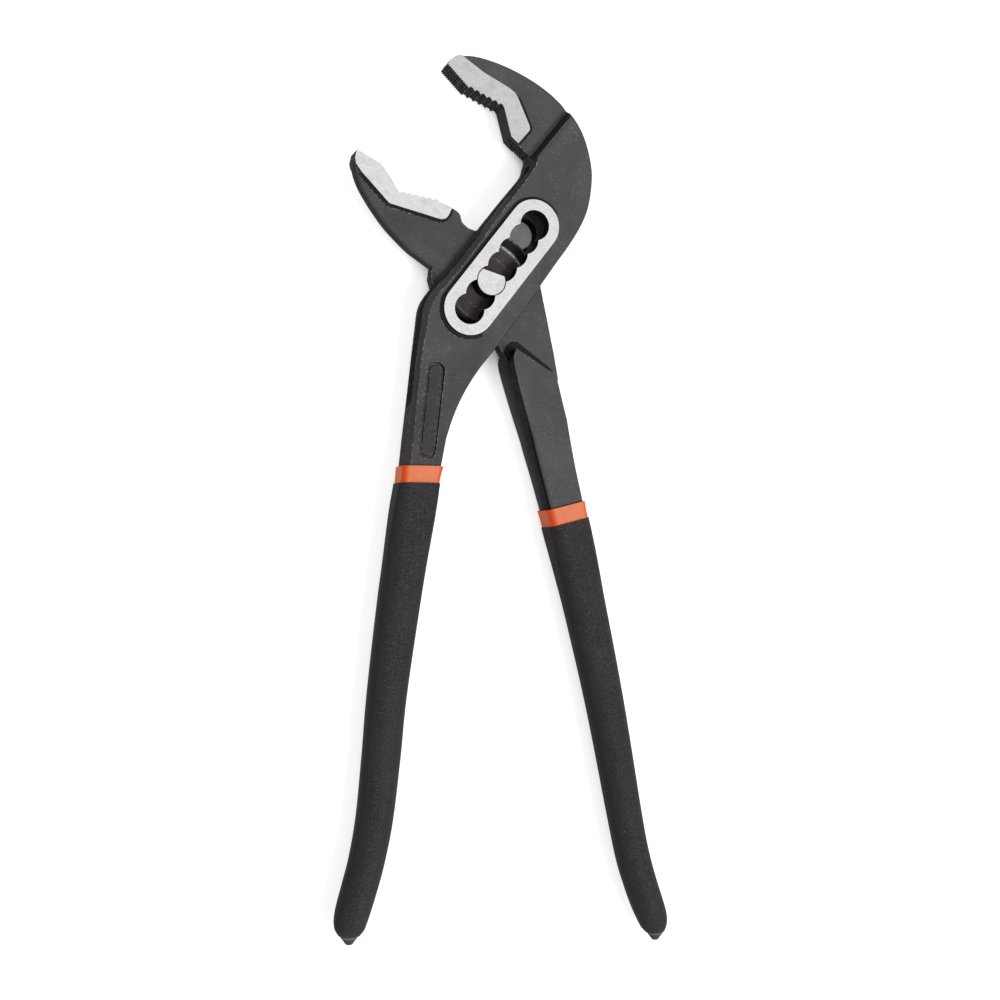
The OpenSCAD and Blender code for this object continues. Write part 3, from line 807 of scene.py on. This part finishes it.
def outer_arm():
    """The forging with the upper jaw, the box joint and the left handle."""
    rungs = []
    for r in OUTER_HEAD:
        ends_t = JAW_T if r[1] > 0 else HANDLE_T
        half_t = (BOX_T * r[4] + ends_t * (1 - r[4])) / 2
        rungs.append((*(HEAD * c for c in r[:4]), half_t, half_t, r[5] * BEVEL, SOFT_EDGE))
    steel = handle_rungs(OUTER_HANDLE, OUTER_SPLAY, OUTER_HANDLE[0][0], OUTER_STEEL, 0.0)
    arm = bar("box_joint_arm", list(curve(rungs, HEAD_STEPS)) + steel, FORGED, 1, 6)

    teeth = scaled(UPPER_TEETH)
    pad_back = scaled(UPPER_PAD)
    add_seat(arm, teeth[-1:] + pad_back[:4], -0.75, JAW_T / 2 + UPPER_SEAT)
    coarse = toothed(teeth[1], teeth[2], COARSE_TEETH, COARSE_DEPTH, COARSE_FLOOR)
    outline = teeth[:2] + coarse[1:] + teeth[2:] + pad_back
    carve(arm, prism("pad", outline, MID - PAD_T / 2, MID + PAD_T / 2), "UNION")
    grooves(arm, teeth[0], teeth[1])
    throat = scaled(THROAT)
    strip = prism("strip", throat + scaled(THROAT_BACK), MID - STRIP_T / 2, MID + STRIP_T / 2)
    carve(arm, strip, "UNION")
    grooves(arm, throat[0], throat[1])

    ends = (in_slot(SLOT_LOW), in_slot(SLOT_HIGH))
    top = [(stadium(*ends, RING_R + out), MID + BOX_T / 2 + up) for out, up in RING_FOOT]
    bottom = [(outline, RING_T - z) for outline, z in reversed(top)]
    carve(arm, stack("ground_rings", bottom + top), "UNION")
    carve(arm, prism("mortise", scaled(MORTISE), MID - MORTISE_T / 2, MID + MORTISE_T / 2))
    carve(arm, prism("slot", slot_outline(), *RIGHT_THROUGH))
    label = scaled(LABEL)
    panel = ((HANDLE_T / 2 - LABEL_DEPTH, LABEL_W / 2 - 0.25), (HANDLE_T / 2, LABEL_W / 2),
             (HANDLE_T / 2 + 1.0, LABEL_W / 2))
    field = ((HANDLE_T / 2 - LABEL_DEPTH - 0.3, LABEL_W / 2 - 0.6), (HANDLE_T / 2 - 0.04, LABEL_W / 2 - 1.0))
    for side in (1, -1):
        for levels, operation in ((panel, "DIFFERENCE"), (field, "UNION")):
            rings = [(stadium(*label, r), MID + side * z) for z, r in levels][::side]
            carve(arm, stack("label", rings), operation)
    finish_shape(arm)
    label_line = [tuple(q) for q in np.linspace(label[0], label[1], 40)]

    def surface(c, n):
        height = abs(c.z - MID)
        flat = abs(n.z) > 0.99
        upright = abs(n.z) < 0.6
        if flat and height > RING_T / 2 - 0.02:
            return GROUND
        if flat and c.y > UPPER_PAD_ABOVE and abs(height - PAD_T / 2) < 0.02:
            return GROUND_DULL
        # painted shade on the walls of the slot, and on the foot of the ground rings where no light falls on
        # it
        away = slot_distance(c.x, c.y)
        if away < SCALLOP_R + 0.05 and not flat:
            return PAINTED_SHADE
        lit = n.x - 0.3 * n.y > 0.75 * math.hypot(n.x, n.y)
        if away < RING_R + 1.16 and height > BOX_T / 2 - 0.08 and not flat and not lit:
            return PAINTED_SHADE
        # painted shade down the box joint's left side and along its lower right edge
        if n.x < -0.5 and abs(n.z) < 0.3 and -6 < c.y < 34:
            return PAINTED_HALF_SHADE
        if n.x > 0.3 and n.y < 0.1 and abs(n.z) < 0.72 and -20 < c.y < -3:
            return PAINTED_SHADE
        # the teeth, with painted shade: faces turned to the left keep the forging, the others get half shade,
        # and the fine teeth full shade on the sides facing down
        if c.y > UPPER_JAW_ABOVE and upright and n.x < 0.2:
            if n.y < -0.95 and not COARSE_TEETH_FROM < c.y < COARSE_TEETH_TO:
                return PAINTED_SHADE
            return FORGED if n.x < -0.9 else PAINTED_HALF_SHADE
        # painted shade on the seat of the ground pad and on the wall above it
        if c.y > UPPER_PAD_ABOVE and JAW_T / 2 - 0.05 < height < PAD_T / 2 - 0.02:
            if flat and abs(height - JAW_T / 2 - UPPER_SEAT) < 0.01 or upright and c.y < 63:
                return PAINTED_HALF_SHADE if n.x < -0.62 else PAINTED_SHADE
        # painted shade in the panel of the handle, darkest along its left
        front = flat and height > HANDLE_T / 2 - 0.01
        if c.y < -20 and height > HANDLE_T / 2 - LABEL_DEPTH - 0.02 and not front:
            inside = min(math.dist(c[:2], q) for q in label_line)
            if inside < LABEL_W / 2 + 0.2:
                return PAINTED_SHADE if n.x < -0.3 and inside > LABEL_W / 2 - 0.45 else PAINTED_HALF_SHADE
        return FORGED

    paint(arm, surface, FORGED, GROUND, GROUND_DULL, PAINTED_SHADE, PAINTED_HALF_SHADE)
    hand_in(arm, "outer_arm", "outer")


# The boss, from its flat top down its cone: radius and height above the middle
BOSS_CONE = [(10.6, BOSS_T / 2), (11.4, BOSS_T / 2 - 0.08), (12.3, TANG_T / 2 - 0.05)]
# Turned grooves round the pivot: radius, half the width, height of the face above the middle, depth
TURNED = [(13.7, 1.25, TANG_T / 2, GROOVE_DEPTH), (7.7, 0.16, BOSS_T / 2, 0.12)]
# The slope above the shoulder: how far out from it, and its share of the shoulder's thickness
SLOPE = [(0.5, 0.36), (0.3, 0.75), (0.12, 0.92)]


def inner_arm():
    """The forging with the lower jaw, the tang and the right handle."""
    def half(low, high, rise):
        return (low + (high - low) * rise) / 2

    rungs = []
    for r in INNER_JAW:
        back = half(TANG_T, JAW_T, r[4] / 6)
        rungs.append((*(HEAD * c for c in r[:4]), back, half(TANG_T, JAW_T, r[4]),
                      min(BEVEL, back - 0.25), SOFT_EDGE / 2))
    arm = bar("tang_arm", curve(rungs, HEAD_STEPS), FORGED_INNER)

    top = []
    for r in SHOULDER:
        thick = half(HANDLE_T, SHOULDER_T, r[4])
        sinks = float(np.interp(r[3], (-0.385, -0.27), (1.0, 0.62)))
        top.append((*(HEAD * c for c in r[:4]), thick, thick * sinks, SOFT_EDGE / 2, BEVEL * sinks))
    left, right = np.array(top[0][0:2]), np.array(top[0][2:4])
    up = np.array([left[1] - right[1], right[0] - left[0]])
    up /= np.linalg.norm(up)
    slope = []
    for out, share in SLOPE:
        slope.append((*(left + up * out + (right - left) * 0.05), *(right + up * out),
                      top[0][4] * share, top[0][5] * share, SOFT_EDGE / 2, SOFT_EDGE / 2))
    steel = handle_rungs(INNER_HANDLE, INNER_SPLAY, INNER_HANDLE[0][0], INNER_STEEL, 0.0)
    carve(arm, bar("handle", slope + list(curve(top, HEAD_STEPS)) + steel), "UNION")

    teeth = scaled(LOWER_TEETH)
    pad_back = scaled(LOWER_PAD)
    add_seat(arm, pad_back[-3::-1] + [teeth[5]], -0.85, JAW_T / 2 + LOWER_SEAT)
    coarse = toothed(teeth[4], teeth[3], COARSE_TEETH, -COARSE_DEPTH * 0.7, COARSE_FLOOR)
    fine = toothed(teeth[1], teeth[0], fine_teeth(teeth[0], teeth[1]), -FINE_DEPTH)
    outline = (coarse + [teeth[3], teeth[2]] + fine + [teeth[0]] + list(reversed(pad_back)) + [teeth[5]])
    carve(arm, prism("pad", outline, MID - PAD_T / 2, MID + PAD_T / 2), "UNION")

    tang = scaled(TANG_NECK) + arc(TANG_R, *TANG_ARC) + scaled(TANG_HANDLE) + arc(HEEL_R, *HEEL_ARC)
    carve(arm, prism("tang", tang, MID - TANG_T / 2 + 0.01, MID + TANG_T / 2 - 0.01), "UNION")
    rings = [(circle(r, 96), MID + z) for r, z in BOSS_CONE]
    heel = [(outline, RING_T - z) for outline, z in rings]
    slot_view = stadium(in_slot(SLOT_LOW), in_slot(SLOT_HIGH), 6.0)
    boss = stack("boss", heel + rings[::-1])
    carve(boss, prism("within_box", slot_view, *RIGHT_THROUGH), "INTERSECT")
    carve(arm, boss, "UNION")
    # two thin patches of painted shade laid on the tang
    for outline in (HEEL_SHADE_PATCH, SHOULDER_SHADE):
        patch = prism("shade", scaled(outline), MID - TANG_T / 2 - SHADE_UP, MID + TANG_T / 2 + SHADE_UP)
        carve(arm, patch, "UNION")
    for radius, width, level, depth in TURNED:
        for side in (1, -1):
            low, high = sorted((MID + side * (level - depth), MID + side * (level + 0.3)))
            groove = prism("groove", circle(radius + width, 96), low, high)
            carve(groove, prism("core", circle(radius - width, 96), low - 1.0, high + 1.0))
            carve(groove, prism("within_box", slot_view, *RIGHT_THROUGH), "INTERSECT")
            carve(arm, groove)
    carve(arm, prism("bore", circle(BORE_R, 64), *RIGHT_THROUGH))
    finish_shape(arm)

    def surface(c, n):
        height = abs(c.z - MID)
        flat = abs(n.z) > 0.99
        on_jaw = c.x < -8 and c.y > 14
        if flat and on_jaw and abs(height - PAD_T / 2) < 0.02:
            return GROUND
        # the boss, the grooves and the bore, and the plain neck between them and the jaw: the boss's cone is
        # worn on its upper right and in painted shade elsewhere, and its face, the grooves and the bore are in
        # painted shade
        away = math.hypot(c.x, c.y)
        if not flat and 10.5 < away < 12.35 and TANG_T / 2 - 0.06 < height < BOSS_T / 2:
            return WORN if c.x + c.y > 0 else PAINTED_SHADE
        if flat and away < 10 and abs(height - BOSS_T / 2) < 0.02:
            return WARM_PAINTED_SHADE
        if away < 15.0 and c.x < -12 and c.y > 2.5 and abs(n.z) > 0.3:
            return FORGED_INNER
        sunk = abs(height - TANG_T / 2 + GROOVE_DEPTH) < 0.02
        if away < BORE_R + 0.05 or away < 15.0 and (not flat or sunk) and c.y > -17:
            return PAINTED_SHADE
        # painted shade on the teeth and on the seat of the ground pad
        seat = abs(height - JAW_T / 2 - LOWER_SEAT) < 0.01
        if on_jaw and (seat or abs(n.z) < 0.6 and n.x + n.y > 0.1):
            return PAINTED_SHADE
        # painted shade on the slope above the shoulder, on the two patches of the tang, and down the left side
        if -30 < c.y < -16 and height > 2.3 and n.y > 0.5:
            return PAINTED_SHADE
        if flat and abs(height - TANG_T / 2 - SHADE_UP) < 0.008:
            return PAINTED_SHADE if c.x > 0 else WARM_PAINTED_SHADE
        if n.x < -0.6 and -66 < c.y < 4:
            return PAINTED_SHADE_SIDE
        return FORGED_INNER

    paint(arm, surface, FORGED_INNER, GROUND, PAINTED_SHADE, WORN, WARM_PAINTED_SHADE, PAINTED_SHADE_SIDE)
    hand_in(arm, "inner_arm", "inner")


def pin_ends():
    """The D-shaped ends of the pin, ground flat on the outside."""
    ground_above = RING_T / 2 - 0.2
    edge = math.acos(FLAT_IN / PIN_R)
    turns = np.linspace(FLAT_ANGLE + edge, FLAT_ANGLE + 2 * math.pi - edge, 64)
    for name, low, high, side in (("pin_end_front", MID + BOSS_T / 2, RING_T, 1),
                                  ("pin_end_back", 0.0, MID - BOSS_T / 2, -1)):
        levels = []
        # from its foot to its face, with a small bevel round the face
        for inset, share in ((0.0, 0.0), (0.0, 1 - 0.03), (0.10, 1.0)):
            r = PIN_R - inset
            outline = [(r * math.cos(t), r * math.sin(t)) for t in turns]
            levels.append((outline, low + (high - low) * share))
        if side < 0:
            levels = [(outline, high - (z - low)) for outline, z in levels][::-1]
        end = stack(name + "_ground", levels)
        finish_shape(end, angle=20)
        # painted shade on the sides of each end, ground steel on its face
        paint(end, lambda c, n: GROUND if abs(c.z - MID) > ground_above else PAINTED_SHADE, GROUND, PAINTED_SHADE)
        hand_in(end, name, "inner")


# The drip at the end of each grip: how far up from the grip's end, and its radius
DRIP_RINGS = [(0.9, 2.66), (0.0, 2.66), (-0.8, 2.2), (-1.4, 1.7), (-2.0, 1.3), (-2.45, 0.9), (-2.64, 0.4)]


def coats(side, shares, splay, band, body):
    """The orange band of a handle, and below it the black grip with its drip."""
    def rungs(start, end, out, **rounding):
        return handle_rungs(shares, splay, start, end, out, **rounding)

    coat = band + BAND_H / REACH
    liner = bar(side + "_orange_band", rungs(band, coat + 2.0 / REACH, BAND_T), BAND)
    carve(liner, bar("core", rungs(band - 1.0 / REACH, coat + 3.0 / REACH, COAT_GAP)))
    finish_shape(liner, angle=40)
    hand_in(liner, side + "_band", body)

    end = shares[-1][0]
    soft = rungs(coat, end, GRIP_T - WITHIN, bevel=2.1, last_bevel=3.7)
    grip = bar(side + "_dipped_grip", soft, GRIP, 10, 10)
    carve(grip, bar("core", rungs(coat - 1.0 / REACH, coat + 6.0 / REACH, BAND_T + COAT_GAP)))
    tip = (splay * shares[-1][1], -REACH * end)
    turns = np.linspace(0, 2 * math.pi, 40, endpoint=False)
    rings = [[(tip[0] + r * math.cos(t), tip[1] + y, MID + r * math.sin(t)) for t in turns]
             for y, r in DRIP_RINGS]
    carve(grip, loft("drip", rings), "UNION")
    finish_shape(grip, angle=50)

    # a painted sheen on the rim at the top of the drip
    def surface(c, n):
        if c.y > tip[1] - 0.1:
            return GRIP
        return DRIP_PAINTED_SHEEN if c.y > tip[1] - 0.75 else DRIP

    paint(grip, surface, GRIP, DRIP, DRIP_PAINTED_SHEEN)
    hand_in(grip, side + "_grip", body)


outer_arm()
inner_arm()
pin_ends()
coats("outer", OUTER_HANDLE, OUTER_SPLAY, OUTER_BAND, "outer")
coats("inner", INNER_HANDLE, INNER_SPLAY, INNER_BAND, "inner")
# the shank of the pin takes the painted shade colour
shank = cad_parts["pivot_pin"]
shank.data.materials.clear()
shank.data.materials.append(PAINTED_SHADE)


def floor():
    """A white floor that the tool lies on. It keeps the tool's soft shadow; its glow to the camera dims with
    ambient occlusion, a painted shade dark only in narrow gaps.
    """
    material, shader, _ = finish("white_floor")
    shader.inputs["Base Color"].default_value = (0.60, 0.60, 0.60, 1.0)
    shader.inputs["Roughness"].default_value = 0.9
    tree = material.node_tree
    rays = node(material, "ShaderNodeLightPath")
    seen = maths(material, "MAXIMUM", rays.outputs["Is Camera Ray"], rays.outputs["Is Glossy Ray"])
    seen = maths(material, "MAXIMUM", seen, rays.outputs["Is Transmission Ray"])
    # painted shade: the glow dims where ambient occlusion is deep
    open_sky = node(material, "ShaderNodeAmbientOcclusion", {"Distance": 25 * MM}, samples=12).outputs["AO"]
    level = spread(material, open_sky, 0.125, 0.36, 0.02, 0.78)
    glow = node(material, "ShaderNodeEmission", {"Color": (1, 1, 1, 1), "Strength": level})
    dark = node(material, "ShaderNodeEmission", {"Color": (0, 0, 0, 1), "Strength": 0.0})
    pick = node(material, "ShaderNodeMixShader", {0: seen, 1: dark.outputs[0], 2: glow.outputs[0]})
    both = node(material, "ShaderNodeAddShader", {0: shader.outputs[0], 1: pick.outputs[0]})
    tree.links.new(both.outputs[0], tree.nodes["Material Output"].inputs["Surface"])
    size = 3000.0
    ground = mesh_object("floor", [(-size, -size, 0), (size, -size, 0), (size, size, 0), (-size, size, 0)],
                         [(0, 1, 2, 3)], material)
    ground.location.z = -0.05 * MM


def sky():
    """White to the camera and behind clear things, and a plain soft light on the object."""
    world = bpy.data.worlds.new("studio")
    bpy.context.scene.world = world
    world.use_nodes = True
    rays = node(world, "ShaderNodeLightPath")
    seen = maths(world, "MAXIMUM", rays.outputs["Is Camera Ray"], rays.outputs["Is Transmission Ray"])
    background = world.node_tree.nodes["Background"]
    background.inputs["Color"].default_value = (1, 1, 1, 1)
    world.node_tree.links.new(spread(world, seen, 0.0, 1.0, 0.45, 1.0), background.inputs["Strength"])


def lamp(name, towards, strength, angle):
    """A soft sun whose light travels along a direction."""
    light = bpy.data.lights.new(name, "SUN")
    light.energy = strength
    light.angle = math.radians(angle)
    obj = bpy.data.objects.new(name, light)
    obj.rotation_euler = Vector(towards).to_track_quat("-Z", "Y").to_euler()
    bpy.context.scene.collection.objects.link(obj)


# The focal length in pixels, on an image this wide
FOCAL = 1430.0
IMAGE = 1000.0


def camera():
    """The photograph's view."""
    data = bpy.data.cameras.new("camera")
    data.sensor_width = 36.0
    data.lens = data.sensor_width * FOCAL / IMAGE
    data.clip_start = 0.01
    data.clip_end = 20.0
    obj = bpy.data.objects.new("camera", data)
    right = Vector((0.94404, 0.0, 0.32984))
    up = Vector((-0.01268, 0.99926, 0.03628))
    back = Vector((-0.32960, -0.03843, 0.94334))
    turn = Matrix((right, up, back)).transposed()
    obj.matrix_world = Matrix.Translation(Vector((-131.0, -78.0, 396.5)) * MM) @ turn.to_4x4()
    bpy.context.scene.collection.objects.link(obj)
    bpy.context.scene.camera = obj


floor()
sky()
lamp("key_light", (-0.45, 0.45, -1.0), 1.7, 25)
camera()
bpy.context.scene.view_settings.view_transform = "Standard"
